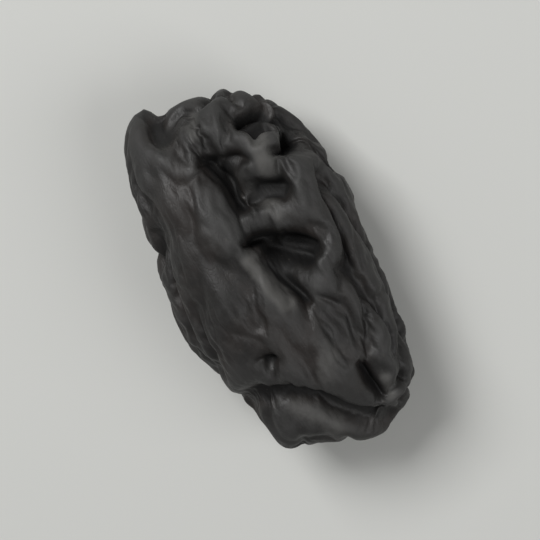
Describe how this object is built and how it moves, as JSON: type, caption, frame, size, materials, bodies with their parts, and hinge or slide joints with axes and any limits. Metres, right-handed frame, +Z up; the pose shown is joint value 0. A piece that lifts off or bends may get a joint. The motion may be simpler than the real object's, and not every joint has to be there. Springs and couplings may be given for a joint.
{
  "type": "prune",
  "caption": "Whole dried prune, long and slightly flattened, with deeply wrinkled dark skin. Lies on a small flat spot.",
  "frame": {"origin": "on the surface that the fruit lies on, under the middle of its bounding box", "axes": "+X along the fruit towards its blunt end, away from the stalk's end; +Y across it; +Z up"},
  "size_m": [0.0474, 0.0258, 0.0193],
  "materials": {
    "prune_skin": "near-black wrinkled fruit skin with a soft, slightly moist sheen"
  },
  "bodies": {
    "root": {"prune": "prune_skin"}
  },
  "joints": []
}
